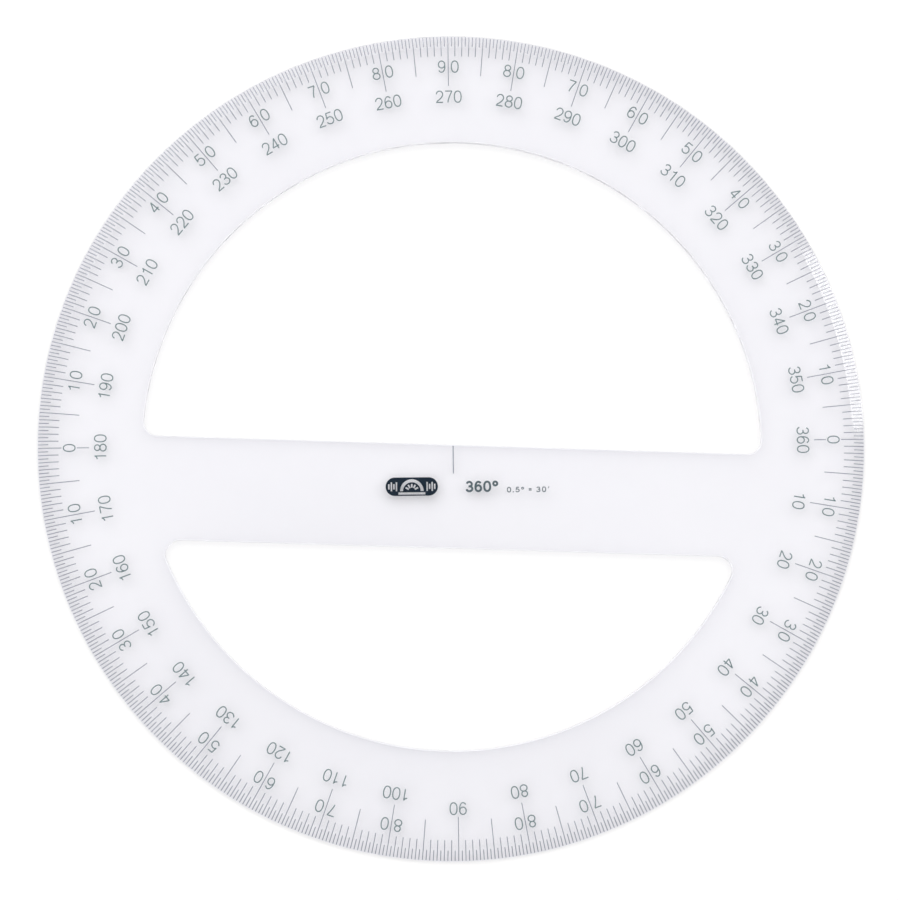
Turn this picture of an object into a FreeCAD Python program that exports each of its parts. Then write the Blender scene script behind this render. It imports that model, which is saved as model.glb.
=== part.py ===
import FreeCAD, Part
import math
import os

os.makedirs("parts", exist_ok=True)
V = FreeCAD.Vector

# Full-circle drafting protractor, lying flat on z = 0 with its printed face up.
# The origin is the centre of the printed scale, on the underside. +X points at the
# 0 / 360 graduation, +Y at the 90 / 270 graduation opposite the crossbar side.
# All lengths are in millimetres and all angles in degrees.

# ---- moulded plate ----
OUTER_R = 101.6          # rim radius, 8 in across
THICK = 2.0              # full thickness
BEVEL_START_R = 98.5     # the top face slopes down from here to the rim
RIM_H = 0.9              # height left at the rim
RIM_EASE = 0.15          # eased lower edge of the rim
CUT_R = 76.0             # arc of each cut-out
CUT_UPPER_SET = 0.95     # how far the upper arc's centre lies below the bar's upper edge
CUT_LOWER_SET = 1.45     # how far the lower arc's centre lies above the bar's upper edge
BAR_W = 25.4             # crossbar width, 1 in
CORNER_R = 3.5           # rounded corners of the cut-outs
MOULD_TURN = -2.44       # the bar and cut-outs are turned this much against the print
MOULD_SHIFT_Y = -0.25    # and sit this far below the print's centre
EDGE_EASE = 0.2          # eased edges round the cut-outs

# ---- ink ----
INK_H = 0.05             # printed film height
MARK_W = 0.20            # width of every graduation line
MARK_END_R = 101.4       # all graduations run out to here
HALF_R = 98.85           # inner ends of the graduations
ONE_R = 96.35
FIVE_R = 91.6
TEN_R = 88.9
ZERO_GAP = (91.85, 95.6)  # the 0 and 180 lines stop for the single 0
LOW_TEN_R = 90.75        # inner end of the line at the lone 90
DIGIT_H = 3.1            # numeral height
DIGIT_W = 1.95           # numeral width
DIGIT_STROKE = 0.27      # numeral line width
QUAD_R = 93.72           # middle of the quadrant numerals, 0-90-0-90
QUAD_HALF_PITCH = 1.62   # their two digits stand this far each side of the line
FULL_R = 86.17           # middle of the full-circle numerals, 10-360
FULL_PITCH = 2.26        # digit spacing of the full-circle numerals
LOW_90_R = 88.73         # middle of the lone 90
CENTRE_X = -0.06         # centre mark, from the bar's edge down
CENTRE_TOP = -0.5
CENTRE_END = -7.3
CENTRE_W = 0.26
EMBLEM_AT = (-10.3, -10.4)
EMBLEM_L = 12.8
EMBLEM_B = 4.5
RANGE_AT = (2.85, -11.95)   # lower left corner of the large 360 figure
RANGE_H = 2.8
RANGE_STROKE = 0.50
NOTE_AT = (13.0, -12.1)     # lower left corner of the small note
NOTE_H = 1.35
NOTE_STROKE = 0.22


def top_z(r):
    """Height of the plate's upper face at radius r."""
    if r <= BEVEL_START_R:
        return THICK
    return THICK - (THICK - RIM_H) * (r - BEVEL_START_R) / (OUTER_R - BEVEL_START_R)


# ------------------------------------------------------------------ plate
def disc():
    pts = [(0, 0), (OUTER_R - RIM_EASE, 0), (OUTER_R, RIM_EASE), (OUTER_R, RIM_H),
           (BEVEL_START_R, THICK), (0, THICK)]
    wire = Part.makePolygon([V(x, 0, z) for x, z in pts] + [V(pts[0][0], 0, pts[0][1])])
    return Part.Face(wire).revolve(V(0, 0, 0), V(0, 0, 1), 360)


def d_opening(edge_y, centre_y, side, grow=0.0):
    """Outline of one D-shaped cut-out: a straight side at edge_y and an arc about
    (0, centre_y), with rounded corners. side is +1 above the bar and -1 below it.
    grow moves the whole outline outwards."""
    y0 = edge_y - side * grow
    a = CUT_R + grow
    f = CORNER_R + grow
    fy = y0 + side * f
    fx = math.sqrt((a - f) ** 2 - (fy - centre_y) ** 2)

    def on_arc(sx):
        return V(sx * fx * a / (a - f), centre_y + (fy - centre_y) * a / (a - f), 0)

    def corner_mid(sx):
        p, q = V(sx * fx, y0, 0), on_arc(sx)
        c = V(sx * fx, fy, 0)
        d = (p - c) + (q - c)
        d.normalize()
        return c + d * f

    edges = [
        Part.LineSegment(V(-fx, y0, 0), V(fx, y0, 0)).toShape(),
        Part.Arc(V(fx, y0, 0), corner_mid(1), on_arc(1)).toShape(),
        Part.Arc(on_arc(1), V(0, centre_y + side * a, 0), on_arc(-1)).toShape(),
        Part.Arc(on_arc(-1), corner_mid(-1), V(-fx, y0, 0)).toShape(),
    ]
    return Part.Wire(edges)


def cutter(edge_y, centre_y, side):
    body = Part.Face(d_opening(edge_y, centre_y, side)).extrude(V(0, 0, THICK + 2))
    body.translate(V(0, 0, -1))
    # eased edges: a 45 degree flare at each face
    parts = [body]
    for z_face, z_in in ((THICK, THICK - EDGE_EASE), (0.0, EDGE_EASE)):
        a = d_opening(edge_y, centre_y, side, EDGE_EASE)
        b = d_opening(edge_y, centre_y, side, 0.0)
        a.translate(V(0, 0, z_face))
        b.translate(V(0, 0, z_in))
        parts.append(Part.makeLoft([b, a], True, True))
    out = parts[0].fuse(parts[1:])
    out.rotate(V(0, 0, 0), V(0, 0, 1), MOULD_TURN)
    out.translate(V(0, MOULD_SHIFT_Y, 0))
    return out


def make_plate():
    p = disc()
    for c in (cutter(0.0, -CUT_UPPER_SET, 1), cutter(-BAR_W, CUT_LOWER_SET, -1)):
        p = p.cut(c)
    return p.Solids[0] if len(p.Solids) == 1 else p


# ------------------------------------------------------------------ graduations
def mark(angle, r0, r1):
    """One graduation: a thin strip of ink along the radius that follows the upper
    face and its bevel. angle is clockwise from +X as seen from above."""
    rs = [r0] + ([BEVEL_START_R] if r0 < BEVEL_START_R < r1 else []) + [r1]
    low = [V(r, -MARK_W / 2, top_z(r)) for r in rs]
    high = [V(r, -MARK_W / 2, top_z(r) + INK_H) for r in reversed(rs)]
    face = Part.Face(Part.makePolygon(low + high + [low[0]]))
    s = face.extrude(V(0, MARK_W, 0))
    s.rotate(V(0, 0, 0), V(0, 0, 1), -angle)
    return s


def make_marks():
    half = [mark(k + 0.5, HALF_R, MARK_END_R) for k in range(360)]
    one = [mark(k, ONE_R, MARK_END_R) for k in range(360) if k % 5]
    five = [mark(k, FIVE_R, MARK_END_R) for k in range(5, 360, 10)]
    ten = []
    for k in range(0, 360, 10):
        if k in (0, 180):
            ten += [mark(k, TEN_R, ZERO_GAP[0]), mark(k, ZERO_GAP[1], MARK_END_R)]
        elif k == 90:
            ten.append(mark(k, LOW_TEN_R, MARK_END_R))
        else:
            ten.append(mark(k, TEN_R, MARK_END_R))
    return half, one, five, ten


# ------------------------------------------------------------------ numerals
# Each figure is drawn as strokes of even width. Centrelines are given in a unit box,
# x to the right and y up, and scaled to the figure's own width and height.
def arc_pts(cx, cy, rx, ry, a0, a1, step=18.0, power=1.0):
    n = max(2, int(round(abs(a1 - a0) / step)))
    out = []
    for i in range(n + 1):
        t = math.radians(a0 + (a1 - a0) * i / n)
        c, s = math.cos(t), math.sin(t)
        out.append((cx + rx * math.copysign(abs(c) ** power, c),
                    cy + ry * math.copysign(abs(s) ** power, s)))
    return out


def ring_pts(cx, cy, rx, ry, power=1.0, n=20):
    return arc_pts(cx, cy, rx, ry, 0, 360, 360.0 / n, power)[:-1]


SIX = [("loop", ring_pts(0.51, 0.31, 0.47, 0.31)),
       ("line", arc_pts(0.54, 0.52, 0.50, 0.48, 42, 180) + [(0.04, 0.31)])]

FIGURES = {
    "0": [("loop", ring_pts(0.5, 0.5, 0.5, 0.5, 0.88, 24))],
    "1": [("line", [(0.64, 0.0), (0.64, 1.0)]),
          ("line", [(0.64, 0.97), (0.55, 0.87), (0.40, 0.80), (0.18, 0.77)])],
    "2": [("line", arc_pts(0.5, 0.71, 0.47, 0.29, 176, -28) +
           [(0.78, 0.43), (0.50, 0.26), (0.20, 0.12), (0.06, 0.0)]),
          ("line", [(0.0, 0.0), (1.0, 0.0)])],
    "3": [("line", arc_pts(0.49, 0.755, 0.42, 0.245, 168, -90)),
          ("line", arc_pts(0.49, 0.265, 0.50, 0.265, 90, -168)),
          ("line", [(0.36, 0.52), (0.52, 0.52)])],
    "4": [("line", [(0.74, 0.0), (0.74, 1.0)]),
          ("line", [(0.72, 0.96), (0.03, 0.27)]),
          ("line", [(0.0, 0.255), (1.0, 0.255)])],
    "5": [("line", [(0.14, 1.0), (0.92, 1.0)]),
          ("line", [(0.17, 1.0), (0.07, 0.47)]),
          ("line", arc_pts(0.47, 0.315, 0.51, 0.315, 142, -164))],
    "6": SIX,
    "7": [("line", [(0.0, 1.0), (1.0, 1.0)]),
          ("line", [(0.97, 0.98), (0.76, 0.72), (0.57, 0.44), (0.44, 0.2), (0.39, 0.0)])],
    "8": [("loop", ring_pts(0.5, 0.765, 0.41, 0.235)),
          ("loop", ring_pts(0.5, 0.268, 0.5, 0.268))],
    "9": [(k, [(1 - x, 1 - y) for x, y in p]) for k, p in SIX],
    "=": [("line", [(0.0, 0.36), (0.9, 0.36)]), ("line", [(0.0, 0.64), (0.9, 0.64)])],
}


def poly_face(pts):
    v = [V(x, y, 0) for x, y in pts]
    return Part.Face(Part.makePolygon(v + [v[0]]))


def offsets(pts, half, closed):
    """Points to the left and right of a centreline, mitred at each bend."""
    n = len(pts)
    left, right = [], []
    for i, (x, y) in enumerate(pts):
        dirs = []
        if closed or i > 0:
            px, py = pts[i - 1]
            dirs.append((x - px, y - py))
        if closed or i < n - 1:
            qx, qy = pts[(i + 1) % n]
            dirs.append((qx - x, qy - y))
        norms = [(-dy / math.hypot(dx, dy), dx / math.hypot(dx, dy)) for dx, dy in dirs]
        mx = sum(a for a, _ in norms)
        my = sum(b for _, b in norms)
        m = math.hypot(mx, my)
        mx, my = mx / m, my / m
        k = half / (mx * norms[0][0] + my * norms[0][1])
        left.append((x + mx * k, y + my * k))
        right.append((x - mx * k, y - my * k))
    return left, right


def stroke_face(kind, pts, stroke):
    left, right = offsets(pts, stroke / 2, kind == "loop")
    if kind == "line":
        return poly_face(left + right[::-1])
    a, b = poly_face(left), poly_face(right)
    return b.cut(a) if b.Area > a.Area else a.cut(b)


def figure_faces(ch, width, height, stroke):
    """The flat outlines of one figure's strokes, its box's lower left corner at the origin."""
    if ch == ".":
        h = stroke * 0.62
        return [poly_face([(0, 0), (2 * h, 0), (2 * h, 2 * h), (0, 2 * h)])]
    if ch == "deg":
        r = 0.17 * height
        return [stroke_face("loop", ring_pts(r + stroke / 2, height - r - stroke / 2, r, r, 1.0, 18), stroke)]
    if ch == "min":
        return [poly_face([(0, height * 0.68), (stroke * 0.8, height * 0.68),
                           (stroke * 1.9, height), (stroke * 0.7, height)])]
    faces = []
    for kind, pts in FIGURES[ch]:
        real = [(stroke / 2 + x * (width - stroke), stroke / 2 + y * (height - stroke)) for x, y in pts]
        faces.append(stroke_face(kind, real, stroke))
    return faces


def film(faces):
    """One solid of the printed thickness over flat outlines that overlap."""
    solids = []
    for f in faces:
        solids += f.extrude(V(0, 0, INK_H)).Solids
    out = solids[0]
    if len(solids) > 1:
        out = out.fuse(solids[1:]).removeSplitter()
    return out.Solids


_figures = {}


def figure(ch, width, height, stroke):
    key = (ch, width, height, stroke)
    if key not in _figures:
        solids = film(figure_faces(ch, width, height, stroke))
        assert len(solids) == (2 if ch == "=" else 1) and all(x.isValid() for x in solids), ch
        _figures[key] = solids[0] if len(solids) == 1 else Part.makeCompound(solids)
    return _figures[key]


def put(solid, dx, dy, turn=0.0, at=(0.0, 0.0)):
    """A copy of a figure: moved by (dx, dy) in its own line of text, then turned and
    moved to its place on the upper face."""
    s = solid.copy()
    s.translate(V(dx, dy, THICK))
    s.rotate(V(0, 0, 0), V(0, 0, 1), turn)
    s.translate(V(at[0], at[1], 0))
    return s


def ring_label(text, angle, radius, pitch):
    """A numeral centred on one graduation, its top towards the rim."""
    a = math.radians(-angle)
    at = (radius * math.cos(a), radius * math.sin(a))
    out = []
    for i, ch in enumerate(text):
        mid = (i - (len(text) - 1) / 2) * pitch
        out.append(put(figure(ch, DIGIT_W, DIGIT_H, DIGIT_STROKE),
                       mid - DIGIT_W / 2, -DIGIT_H / 2, -angle - 90, at))
    return out


def make_numerals():
    quad, full = [], []
    for k in range(0, 360, 10):
        q = k % 180
        q = q if q <= 90 else 180 - q
        if k == 90:
            quad += ring_label("90", k, LOW_90_R, FULL_PITCH)
            continue
        if q == 0:
            quad += ring_label("0", k, QUAD_R, 0.0)
        else:
            quad += ring_label(str(q), k, QUAD_R, 2 * QUAD_HALF_PITCH)
        full += ring_label(str(k if k else 360), k, FULL_R, FULL_PITCH)
    return quad, full


def text_line(items, start, height, width, stroke, gap):
    """A line of figures from left to right. A number in items is a space."""
    out = []
    x, y = start
    for it in items:
        if isinstance(it, (int, float)):
            x += it
            continue
        s = figure(it, width, height, stroke)
        b = s.BoundBox
        out.append(put(s, x - b.XMin, y))
        x += b.XLength + gap
    return out


# ------------------------------------------------------------------ emblem and centre mark
def make_emblem():
    """A navy lozenge with rounded ends. A plain half-circle scale is left clear in its
    middle, with four ruler lines on each side."""
    r = EMBLEM_B / 2
    l = EMBLEM_L / 2 - r
    outline = arc_pts(l, 0, r, r, -90, 90, 10) + arc_pts(-l, 0, r, r, 90, 270, 10)
    body = poly_face(outline)

    def bar(x0, y0, x1, y1):
        return poly_face([(x0, y0), (x1, y0), (x1, y1), (x0, y1)])

    base_y, arch_r = -1.65, 2.9
    hub_y = base_y + 0.55
    arch = arc_pts(0, hub_y, arch_r, arch_r, 0, 180, 10) + arc_pts(0, hub_y, arch_r - 0.75, arch_r - 0.75, 180, 0, 10)
    holes = [poly_face(arch), bar(-3.3, base_y - 0.3, 3.3, base_y + 0.25)]
    for a in (30, 60, 90, 120, 150):
        c, s = math.cos(math.radians(a)), math.sin(math.radians(a))
        r0, r1, h = 0.85, 1.75, 0.2
        pts = [(r0 * c - h * s, r0 * s + h * c), (r0 * c + h * s, r0 * s - h * c),
               (r1 * c + h * s, r1 * s - h * c), (r1 * c - h * s, r1 * s + h * c)]
        holes.append(poly_face([(x, y + hub_y) for x, y in pts]))
    for i, tall in enumerate((2.2, 1.3, 2.2, 1.3)):
        x = 3.75 + 0.62 * i
        for side in (1, -1):
            holes.append(bar(side * x - 0.18, -tall / 2, side * x + 0.18, tall / 2))
    f = body
    for h in holes:
        f = f.cut(h)
    solids = f.extrude(V(0, 0, INK_H)).Solids
    assert len(solids) == 1, len(solids)
    return [put(solids[0], 0, 0, 0, EMBLEM_AT)]


def make_centre_mark():
    s = Part.makeBox(CENTRE_W, CENTRE_TOP - CENTRE_END, INK_H, V(CENTRE_X - CENTRE_W / 2, CENTRE_END, THICK))
    return [s]


# ------------------------------------------------------------------ assembly
half, one, five, ten = make_marks()
quad, full = make_numerals()
nodes = {
    "clear_plate": [make_plate()],
    "half_degree_marks": half,
    "one_degree_marks": one,
    "five_degree_marks": five,
    "ten_degree_marks": ten,
    "quadrant_numerals": quad,
    "full_circle_numerals": full,
    "centre_mark": make_centre_mark(),
    "imprint_emblem": make_emblem(),
    "imprint_range": text_line(["3", "6", "0", "deg"], RANGE_AT, RANGE_H, 1.95, RANGE_STROKE, 0.28),
    "imprint_division": text_line(["0", ".", "5", "deg", 0.75, "=", 0.75, "3", "0", "min"],
                                  NOTE_AT, NOTE_H, 1.02, NOTE_STROKE, 0.4),
}

for name, solids in nodes.items():
    bad = [s for s in solids if not s.isValid() or s.Volume <= 0]
    solids = [x for s in solids for x in s.Solids]
    shape = solids[0] if len(solids) == 1 else Part.makeCompound(solids)
    shape.exportStep("parts/%s.step" % name)
    b = shape.BoundBox
    print("%-22s solids %4d  faces %5d  volume %10.3f  bad %d  z %.3f..%.3f" % (
        name, len(shape.Solids), len(shape.Faces), shape.Volume, len(bad), b.ZMin, b.ZMax))
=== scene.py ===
import math

import bpy
from mathutils import Matrix, Vector
from mathutils.geometry import delaunay_2d_cdt


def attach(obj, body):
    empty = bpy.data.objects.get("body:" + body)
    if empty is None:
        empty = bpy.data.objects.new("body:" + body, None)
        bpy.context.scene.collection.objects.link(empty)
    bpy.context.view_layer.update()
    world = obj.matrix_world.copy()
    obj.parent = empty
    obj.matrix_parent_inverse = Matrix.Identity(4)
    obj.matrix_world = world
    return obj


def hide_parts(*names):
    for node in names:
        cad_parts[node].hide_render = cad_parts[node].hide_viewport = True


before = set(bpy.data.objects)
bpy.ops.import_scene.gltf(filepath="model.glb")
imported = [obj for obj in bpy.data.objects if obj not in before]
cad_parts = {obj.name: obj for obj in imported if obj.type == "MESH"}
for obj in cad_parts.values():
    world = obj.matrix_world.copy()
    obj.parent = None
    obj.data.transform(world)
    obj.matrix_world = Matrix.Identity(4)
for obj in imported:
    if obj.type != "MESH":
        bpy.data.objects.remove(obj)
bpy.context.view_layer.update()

MM = 0.001

# ------------------------------------------------------------------ measures (mm)
# the same plate as the CAD node, drawn finely enough for clear plastic
OUTER_R, THICK, BEVEL_R, RIM_H = 101.6, 2.0, 98.5, 0.9
RIM_EASE, RIM_TOP_EASE, CROWN = 0.15, 0.05, 0.03
CUT_R, CUT_UPPER_SET, CUT_LOWER_SET = 76.0, 0.95, 1.45
BAR_W, CORNER_R, EDGE_EASE = 25.4, 3.5, 0.2
MOULD_TURN, MOULD_SHIFT_Y = math.radians(-2.44), -0.25
RING_STEPS = 720

scene = bpy.context.scene
scene.view_settings.view_transform = "Standard"


# ------------------------------------------------------------------ camera
def make_camera():
    f_px = 2390.56
    half_px = 0.5 / f_px
    turn = Matrix(((0.99940367, 0.01112619, -0.03268813),
                   (-0.01337567, 0.99749755, -0.06942429),
                   (0.0318339, 0.06982012, 0.99705153)))
    turn = turn @ Matrix.Rotation(half_px, 3, "X") @ Matrix.Rotation(half_px, 3, "Y")
    data = bpy.data.cameras.new("camera")
    data.sensor_width = 36.0
    data.lens = f_px / 900.0 * 36.0
    data.clip_start, data.clip_end = 0.01, 50.0
    cam = bpy.data.objects.new("camera", data)
    scene.collection.objects.link(cam)
    cam.matrix_world = Matrix.Translation((-0.01985655, -0.04232557, 0.58614766)) @ turn.to_4x4()
    scene.camera = cam


# ------------------------------------------------------------------ node helpers
class Tree:
    def __init__(self, owner):
        owner.use_nodes = True
        self.t = owner.node_tree
        self.t.nodes.clear()

    def node(self, kind, **settings):
        n = self.t.nodes.new(kind)
        for k, v in settings.items():
            setattr(n, k, v)
        return n

    def link(self, a, b):
        self.t.links.new(a, b)

    def put(self, socket, value):
        if hasattr(value, "is_output"):
            self.link(value, socket)
        else:
            socket.default_value = value

    def noise(self, vector, scale, detail=3.0, rough=0.55, distort=0.0):
        n = self.node("ShaderNodeTexNoise")
        self.link(vector, n.inputs["Vector"])
        n.inputs["Scale"].default_value = scale
        n.inputs["Detail"].default_value = detail
        n.inputs["Roughness"].default_value = rough
        n.inputs["Distortion"].default_value = distort
        return n.outputs["Fac"]

    def span(self, value, a, b, lo, hi, smooth=False):
        n = self.node("ShaderNodeMapRange")
        if smooth:
            n.interpolation_type = "SMOOTHSTEP"
        self.link(value, n.inputs["Value"])
        for name, v in (("From Min", a), ("From Max", b), ("To Min", lo), ("To Max", hi)):
            n.inputs[name].default_value = v
        return n.outputs["Result"]

    def maths(self, op, a, b=None, c=None, clamp=False):
        n = self.node("ShaderNodeMath", operation=op, use_clamp=clamp)
        for s, v in zip(n.inputs, (a, b, c)):
            if v is not None:
                self.put(s, v)
        return n.outputs[0]

    def vec(self, op, a, b=None):
        n = self.node("ShaderNodeVectorMath", operation=op)
        for s, v in zip(n.inputs, (a, b)):
            if v is not None:
                self.put(s, v)
        return n.outputs["Value" if op in ("DOT_PRODUCT", "LENGTH") else "Vector"]

    def blend(self, fac, a, b):
        n = self.node("ShaderNodeMix", data_type="RGBA")
        self.put(n.inputs[0], fac)
        self.put(n.inputs[6], a)
        self.put(n.inputs[7], b)
        return n.outputs[2]


# ------------------------------------------------------------------ materials
def clear_plastic(name, tint_a, tint_b, rough, shadow, scuff, clear=1.0):
    """Clear moulded plastic. The camera sees real glass-like plastic with faint flow
    lines, hairline scuffs and haze. Lamps reach the paper through the Transparent side.
    Where clear is below 1, the rest of the surface scatters light, as a satin edge does."""
    m = bpy.data.materials.new(name)
    t = Tree(m)
    pos = t.node("ShaderNodeTexCoord").outputs["Object"]
    # slow tint and flow variation of the moulding
    flow = t.noise(pos, 28.0, 2.0, 0.5, 0.6)
    # hairline scuffs: long thin noise in two directions
    lines = []
    for turn, sx, sy in ((0.5, 45.0, 2600.0), (1.9, 60.0, 3400.0)):
        mp = t.node("ShaderNodeMapping")
        mp.inputs["Rotation"].default_value = (0, 0, turn)
        mp.inputs["Scale"].default_value = (sx, sy, 60.0)
        t.link(pos, mp.inputs["Vector"])
        n = t.noise(mp.outputs[0], 1.0, 2.0, 0.6)
        lines.append(t.span(n, 0.70, 0.78, 0.0, 1.0, True))
    scratch = t.maths("MAXIMUM", lines[0], lines[1])
    haze = t.noise(pos, 240.0, 4.0, 0.6)
    body = t.node("ShaderNodeBsdfPrincipled")
    body.inputs["Transmission Weight"].default_value = clear
    body.inputs["IOR"].default_value = 1.49
    t.link(t.blend(t.span(flow, 0.35, 0.65, 0.0, 1.0), tint_a, tint_b), body.inputs["Base Color"])
    r = t.span(haze, 0.3, 0.7, rough * 0.6, rough * 1.4)
    r = t.maths("ADD", r, t.maths("MULTIPLY", scratch, scuff))
    t.link(r, body.inputs["Roughness"])
    bump = t.node("ShaderNodeBump")
    bump.inputs["Strength"].default_value = 0.06
    bump.inputs["Distance"].default_value = 0.00002
    t.link(t.maths("ADD", flow, t.maths("MULTIPLY", scratch, -0.35)), bump.inputs["Height"])
    t.link(bump.outputs[0], body.inputs["Normal"])
    through = t.node("ShaderNodeBsdfTransparent")
    through.inputs["Color"].default_value = shadow
    path = t.node("ShaderNodeLightPath")
    inner = t.node("ShaderNodeMixShader")
    t.link(path.outputs["Is Diffuse Ray"], inner.inputs[0])
    t.link(body.outputs[0], inner.inputs[1])
    t.link(through.outputs[0], inner.inputs[2])
    outer = t.node("ShaderNodeMixShader")
    t.link(path.outputs["Is Shadow Ray"], outer.inputs[0])
    t.link(inner.outputs[0], outer.inputs[1])
    t.link(through.outputs[0], outer.inputs[2])
    out = t.node("ShaderNodeOutputMaterial")
    t.link(outer.outputs[0], out.inputs["Surface"])
    return m


def ink(name, dark, light, rough, glare=0.5):
    """Screen-printed ink: slightly mottled, satin, with the fine grain of the mesh.
    It casts only part of a shadow, since the plate's refraction isn't followed down to the paper."""
    m = bpy.data.materials.new(name)
    t = Tree(m)
    pos = t.node("ShaderNodeTexCoord").outputs["Object"]
    blot = t.noise(pos, 900.0, 3.0, 0.6)
    grain = t.noise(pos, 9000.0, 2.0, 0.6)
    cover = t.maths("ADD", t.maths("MULTIPLY", blot, 0.7), t.maths("MULTIPLY", grain, 0.3))
    p = t.node("ShaderNodeBsdfPrincipled")
    t.link(t.blend(t.span(cover, 0.38, 0.62, 0.0, 1.0), dark, light), p.inputs["Base Color"])
    t.link(t.span(grain, 0.3, 0.7, rough * 0.8, rough * 1.3), p.inputs["Roughness"])
    p.inputs["IOR"].default_value = 1.5
    p.inputs["Specular IOR Level"].default_value = glare
    bump = t.node("ShaderNodeBump")
    bump.inputs["Strength"].default_value = 0.15
    bump.inputs["Distance"].default_value = 0.00001
    t.link(grain, bump.inputs["Height"])
    t.link(bump.outputs[0], p.inputs["Normal"])
    pass_by = t.node("ShaderNodeBsdfTransparent")
    pass_by.inputs["Color"].default_value = (0.60, 0.60, 0.60, 1)
    mix = t.node("ShaderNodeMixShader")
    t.link(t.node("ShaderNodeLightPath").outputs["Is Shadow Ray"], mix.inputs[0])
    t.link(p.outputs[0], mix.inputs[1])
    t.link(pass_by.outputs[0], mix.inputs[2])
    out = t.node("ShaderNodeOutputMaterial")
    t.link(mix.outputs[0], out.inputs["Surface"])
    return m


def paper():
    m = bpy.data.materials.new("pale_floor")
    t = Tree(m)
    pos = t.node("ShaderNodeTexCoord").outputs["Object"]
    n = t.noise(pos, 350.0, 4.0, 0.6)
    p = t.node("ShaderNodeBsdfPrincipled")
    t.link(t.blend(t.span(n, 0.35, 0.65, 0.0, 1.0), (0.853, 0.852, 0.846, 1), (0.860, 0.859, 0.853, 1)),
           p.inputs["Base Color"])
    p.inputs["Roughness"].default_value = 0.9
    p.inputs["Specular IOR Level"].default_value = 0.0
    out = t.node("ShaderNodeOutputMaterial")
    t.link(p.outputs[0], out.inputs["Surface"])
    return m


# ------------------------------------------------------------------ plate
def d_loop(edge_y, centre_y, side):
    """Points round one D-shaped window as (x, y, outward x, outward y), counter-clockwise."""
    a, f, y0 = CUT_R, CORNER_R, edge_y
    fy = y0 + side * f
    fx = math.sqrt((a - f) ** 2 - (fy - centre_y) ** 2)
    out = []
    steps = 40
    for i in range(steps):
        x = -fx + 2 * fx * i / steps
        out.append((x, y0, 0.0, -side))

    def turn(cx, cy, r, a0, a1, n):
        for i in range(n):
            th = a0 + (a1 - a0) * i / n
            out.append((cx + r * math.cos(th), cy + r * math.sin(th), math.cos(th), math.sin(th)))

    end = math.atan2(abs(fy - centre_y), fx)
    end = end if side * (fy - centre_y) > 0 else -end
    # right corner, arc, left corner, written for side = +1 and mirrored for -1
    turn(fx, fy, f, -side * math.pi / 2, side * end, 14)
    turn(0.0, centre_y, a, side * end, side * (math.pi - end), 300)
    turn(-fx, fy, f, side * (math.pi - end), side * 1.5 * math.pi, 14)
    if side < 0:
        out.reverse()
    c, s = math.cos(MOULD_TURN), math.sin(MOULD_TURN)
    return [(x * c - y * s, x * s + y * c + MOULD_SHIFT_Y, nx * c - ny * s, nx * s + ny * c)
            for x, y, nx, ny in out]


def circle_loop():
    out = []
    for i in range(RING_STEPS):
        th = 2 * math.pi * i / RING_STEPS
        out.append((0.0, 0.0, math.cos(th), math.sin(th)))
    return out


def window_profile():
    """(offset from the outline, z, normal along the offset, normal z), top to bottom."""
    e, n, out = EDGE_EASE, 6, []
    for i in range(n + 1):
        t = math.pi / 2 * i / n
        out.append((e - e * math.sin(t), THICK - e + e * math.cos(t), -math.sin(t), math.cos(t)))
    for i in range(n + 1):
        t = math.pi / 2 * i / n
        out.append((e - e * math.cos(t), e - e * math.sin(t), -math.cos(t), -math.sin(t)))
    return out


def rim_profile():
    """(radius, z, normal r, normal z), from the bevel's start out and down to the underside."""
    out = []
    r1, z1 = BEVEL_R, THICK
    slope = math.atan2(THICK - RIM_H, OUTER_R - BEVEL_R)
    e = RIM_TOP_EASE
    # where the eased top edge of the rim leaves the bevel
    back = e * math.tan((math.pi / 2 - slope) / 2)
    r2, z2 = OUTER_R - back * math.cos(slope), RIM_H + back * math.sin(slope)
    n = 12
    length = math.hypot(r2 - r1, z1 - z2)
    for i in range(n + 1):
        u = i / n
        lift = 4 * CROWN * u * (1 - u)
        tilt = slope - math.atan(4 * CROWN * (1 - 2 * u) / length)
        out.append((r1 + (r2 - r1) * u + lift * math.sin(slope),
                    z1 + (z2 - z1) * u + lift * math.cos(slope), math.sin(tilt), math.cos(tilt)))
    cr, cz = r2 - e * math.sin(slope), z2 - e * math.cos(slope)
    for i in range(1, 6):
        th = slope + (math.pi / 2 - slope) * i / 5
        out.append((cr + e * math.sin(th), cz + e * math.cos(th), math.sin(th), math.cos(th)))
    g = RIM_EASE
    for i in range(0, 6):
        th = math.pi / 2 * i / 5
        out.append((OUTER_R - g + g * math.cos(th), g - g * math.sin(th), math.cos(th), -math.sin(th)))
    return out


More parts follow.
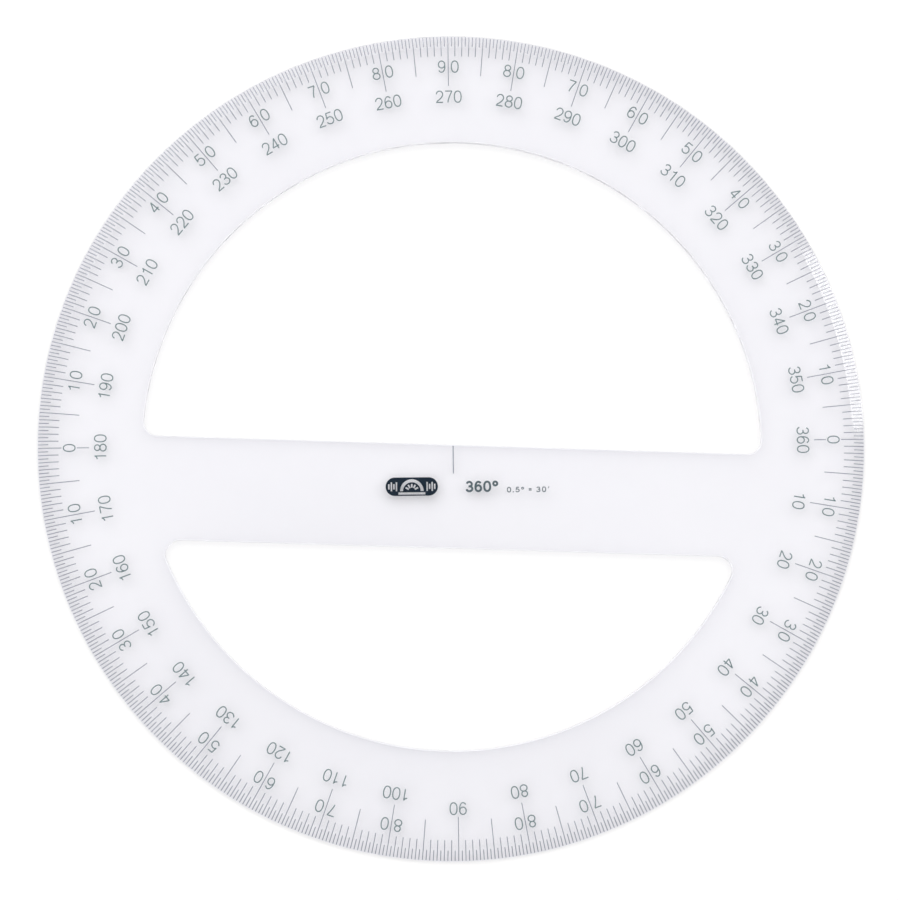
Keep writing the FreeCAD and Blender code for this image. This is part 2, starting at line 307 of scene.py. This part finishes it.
def make_plate():
    verts, normals, faces, face_normals, mats = [], [], [], [], []

    def strip(loop, profile, outwards, mat_of):
        """A band of quads from one loop swept through a profile. Returns its first and last rings."""
        rings = []
        for off, z, nr, nz in profile:
            ring = []
            for x, y, nx, ny in loop:
                verts.append((x + nx * off, y + ny * off, z))
                normals.append((nx * nr, ny * nr, nz))
                ring.append(len(verts) - 1)
            rings.append(ring)
        n = len(loop)
        for k in range(len(rings) - 1):
            a, b = rings[k], rings[k + 1]
            for i in range(n):
                j = (i + 1) % n
                # for the rim: top ring a, lower ring b, loop counter-clockwise seen from above
                q = (a[i], b[i], b[j], a[j]) if outwards else (a[i], a[j], b[j], b[i])
                faces.append(q)
                face_normals.append(None)
                mats.append(mat_of(k))
        return rings[0], rings[-1]

    rim = rim_profile()
    windows = window_profile()
    bevel_bands = 12
    top, low = strip(circle_loop(), rim, True, lambda k: 0 if k < bevel_bands else 1)
    holes = []
    for d in (d_loop(0.0, -CUT_UPPER_SET, 1), d_loop(-BAR_W, CUT_LOWER_SET, -1)):
        # inside the window a ring runs the other way round, so its faces turn too
        holes.append(strip(d, windows, False, lambda k: 1))

    def in_window(x, y):
        c, s = math.cos(-MOULD_TURN), math.sin(-MOULD_TURN)
        yy = y - MOULD_SHIFT_Y
        u, v = x * c - yy * s, x * s + yy * c
        if v > -EDGE_EASE and math.hypot(u, v + CUT_UPPER_SET) < CUT_R + EDGE_EASE:
            return True
        return v < -BAR_W + EDGE_EASE and math.hypot(u, v - CUT_LOWER_SET) < CUT_R + EDGE_EASE

    def cap(outer, inner, up):
        ids = list(outer)
        edges = [(i, (i + 1) % len(outer)) for i in range(len(outer))]
        for ring in inner:
            base = len(ids)
            ids += ring
            edges += [(base + i, base + (i + 1) % len(ring)) for i in range(len(ring))]
        pts = [Vector(verts[i][:2]) for i in ids]
        vs, _, fs, origin, _, _ = delaunay_2d_cdt(pts, edges, [], 1, 1e-7)
        ids = [ids[o[0]] for o in origin]
        for f in fs:
            cx = sum(vs[i][0] for i in f) / 3
            cy = sum(vs[i][1] for i in f) / 3
            if in_window(cx, cy):
                continue
            f = [ids[i] for i in f]
            (x0, y0), (x1, y1), (x2, y2) = (verts[i][:2] for i in f)
            ccw = (x1 - x0) * (y2 - y0) - (x2 - x0) * (y1 - y0) > 0
            if ccw != up:
                f.reverse()
            faces.append(tuple(f))
            face_normals.append((0.0, 0.0, 1.0 if up else -1.0))
            mats.append(0)

    cap(top, [h[0] for h in holes], True)
    cap(low, [h[1] for h in holes], False)

    mesh = bpy.data.meshes.new("protractor_plate")
    mesh.from_pydata([(x * MM, y * MM, z * MM) for x, y, z in verts], [], faces)
    mesh.validate()
    mesh.polygons.foreach_set("material_index", mats)
    mesh.polygons.foreach_set("use_smooth", [True] * len(mesh.polygons))
    custom = []
    for p, n in zip(mesh.polygons, face_normals):
        for li in p.loop_indices:
            custom.append(n if n is not None else normals[mesh.loops[li].vertex_index])
    mesh.normals_split_custom_set(custom)
    mesh.update()
    ob = bpy.data.objects.new("protractor_plate", mesh)
    scene.collection.objects.link(ob)
    return ob


# ------------------------------------------------------------------ surroundings
def make_floor():
    half, n = 20.0, 2
    verts = [(-half + 2 * half * i / n, -half + 2 * half * j / n, -0.00003)
             for j in range(n + 1) for i in range(n + 1)]
    faces = [(j * (n + 1) + i, j * (n + 1) + i + 1, (j + 1) * (n + 1) + i + 1, (j + 1) * (n + 1) + i)
             for j in range(n) for i in range(n)]
    mesh = bpy.data.meshes.new("floor")
    mesh.from_pydata(verts, [], faces)
    ob = bpy.data.objects.new("floor", mesh)
    scene.collection.objects.link(ob)
    ob.data.materials.append(paper())
    return ob


def towards(az, zen):
    a, z = math.radians(az), math.radians(zen)
    return Vector((math.sin(z) * math.cos(a), math.sin(z) * math.sin(a), math.cos(z)))


def sun(name, az, zen, strength, spread, color, glossy=True):
    data = bpy.data.lights.new(name, "SUN")
    data.energy = strength
    data.angle = math.radians(spread)
    data.color = color
    ob = bpy.data.objects.new(name, data)
    scene.collection.objects.link(ob)
    ob.rotation_mode = "QUATERNION"
    ob.rotation_quaternion = (-towards(az, zen)).to_track_quat("-Z", "Y")
    ob.visible_glossy = glossy
    ob.visible_transmission = glossy
    return ob


SKY = 0.66          # pale studio ceiling
WINDOW_SIDE = 1.7   # soft bright side, behind and to the left
FLOOR_FILL = 1.33   # even light from above
KEY = 0.50          # soft lamp to the right


def make_light():
    world = bpy.data.worlds.new("studio")
    scene.world = world
    t = Tree(world)
    d = t.node("ShaderNodeTexCoord").outputs["Generated"]

    def lobe(az, zen, inner, outer):
        v = towards(az, zen)
        dot = t.vec("DOT_PRODUCT", d, tuple(v))
        return t.span(dot, math.cos(math.radians(outer)), math.cos(math.radians(inner)), 0.0, 1.0, True)

    bright = lobe(112.0, 56.0, 8.0, 44.0)
    dull = lobe(-50.0, 55.0, 10.0, 60.0)
    rig = lobe(-90.0, 4.5, 5.0, 9.0)       # the dark of the camera's stand overhead
    up = t.node("ShaderNodeSeparateXYZ")
    t.link(d, up.inputs[0])
    wall = t.span(up.outputs["Z"], -0.05, 0.5, 0.35, 1.0, True)
    level = t.maths("MULTIPLY", wall, SKY)
    level = t.maths("MULTIPLY", level, t.span(dull, 0.0, 1.0, 1.0, 0.25))
    level = t.maths("MULTIPLY", level, t.span(rig, 0.0, 1.0, 1.0, 0.10))
    above = t.span(up.outputs["Z"], 0.15, 0.45, 0.0, 1.0, True)
    level = t.maths("ADD", level, t.maths("MULTIPLY", t.maths("MULTIPLY", bright, above), WINDOW_SIDE))
    seen = t.node("ShaderNodeLightPath").outputs["Is Camera Ray"]
    level = t.maths("MAXIMUM", level, t.maths("MULTIPLY", seen, 0.93))
    bg = t.node("ShaderNodeBackground")
    bg.inputs["Color"].default_value = (1.0, 0.995, 1.0, 1)
    t.link(level, bg.inputs["Strength"])
    out = t.node("ShaderNodeOutputWorld")
    t.link(bg.outputs[0], out.inputs["Surface"])

    sun("key_lamp", 19.0, 52.0, KEY, 20.0, (1.0, 0.99, 0.97))
    sun("fill_lamp", 112.0, 8.0, FLOOR_FILL, 120.0, (1.0, 1.0, 1.0), glossy=False)


# ------------------------------------------------------------------ put together
make_camera()
make_floor()
make_light()

FACE = clear_plastic("clear_plastic_face", (0.943, 0.941, 0.976, 1), (0.953, 0.951, 0.983, 1),
                     0.07, (0.968, 0.968, 0.976, 1), 0.10)
EDGE = clear_plastic("clear_plastic_edge", (0.94, 0.94, 0.975, 1), (0.96, 0.96, 0.985, 1),
                     0.50, (0.82, 0.82, 0.84, 1), 0.08, clear=0.65)
plate = make_plate()
plate.data.materials.append(FACE)
plate.data.materials.append(EDGE)
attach(plate, "root")
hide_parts("clear_plate")

BLACK = ink("black_ink", (0.110, 0.160, 0.168, 1), (0.160, 0.220, 0.230, 1), 0.22)
LINES = ink("graduation_ink", (0.190, 0.205, 0.250, 1), (0.255, 0.270, 0.320, 1), 0.08)
NAVY = ink("navy_ink", (0.002, 0.009, 0.019, 1), (0.004, 0.015, 0.030, 1), 0.45, glare=0.2)
TEXT = ink("navy_text_ink", (0.055, 0.082, 0.095, 1), (0.085, 0.118, 0.135, 1), 0.25)
for name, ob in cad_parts.items():
    if name == "clear_plate":
        continue
    if name == "imprint_emblem":
        m = NAVY
    elif name.startswith("imprint"):
        m = TEXT
    elif name.endswith("_marks") or name == "centre_mark":
        m = LINES
    else:
        m = BLACK
    if not ob.material_slots:
        ob.data.materials.append(m)
    for s in ob.material_slots:
        s.material = m
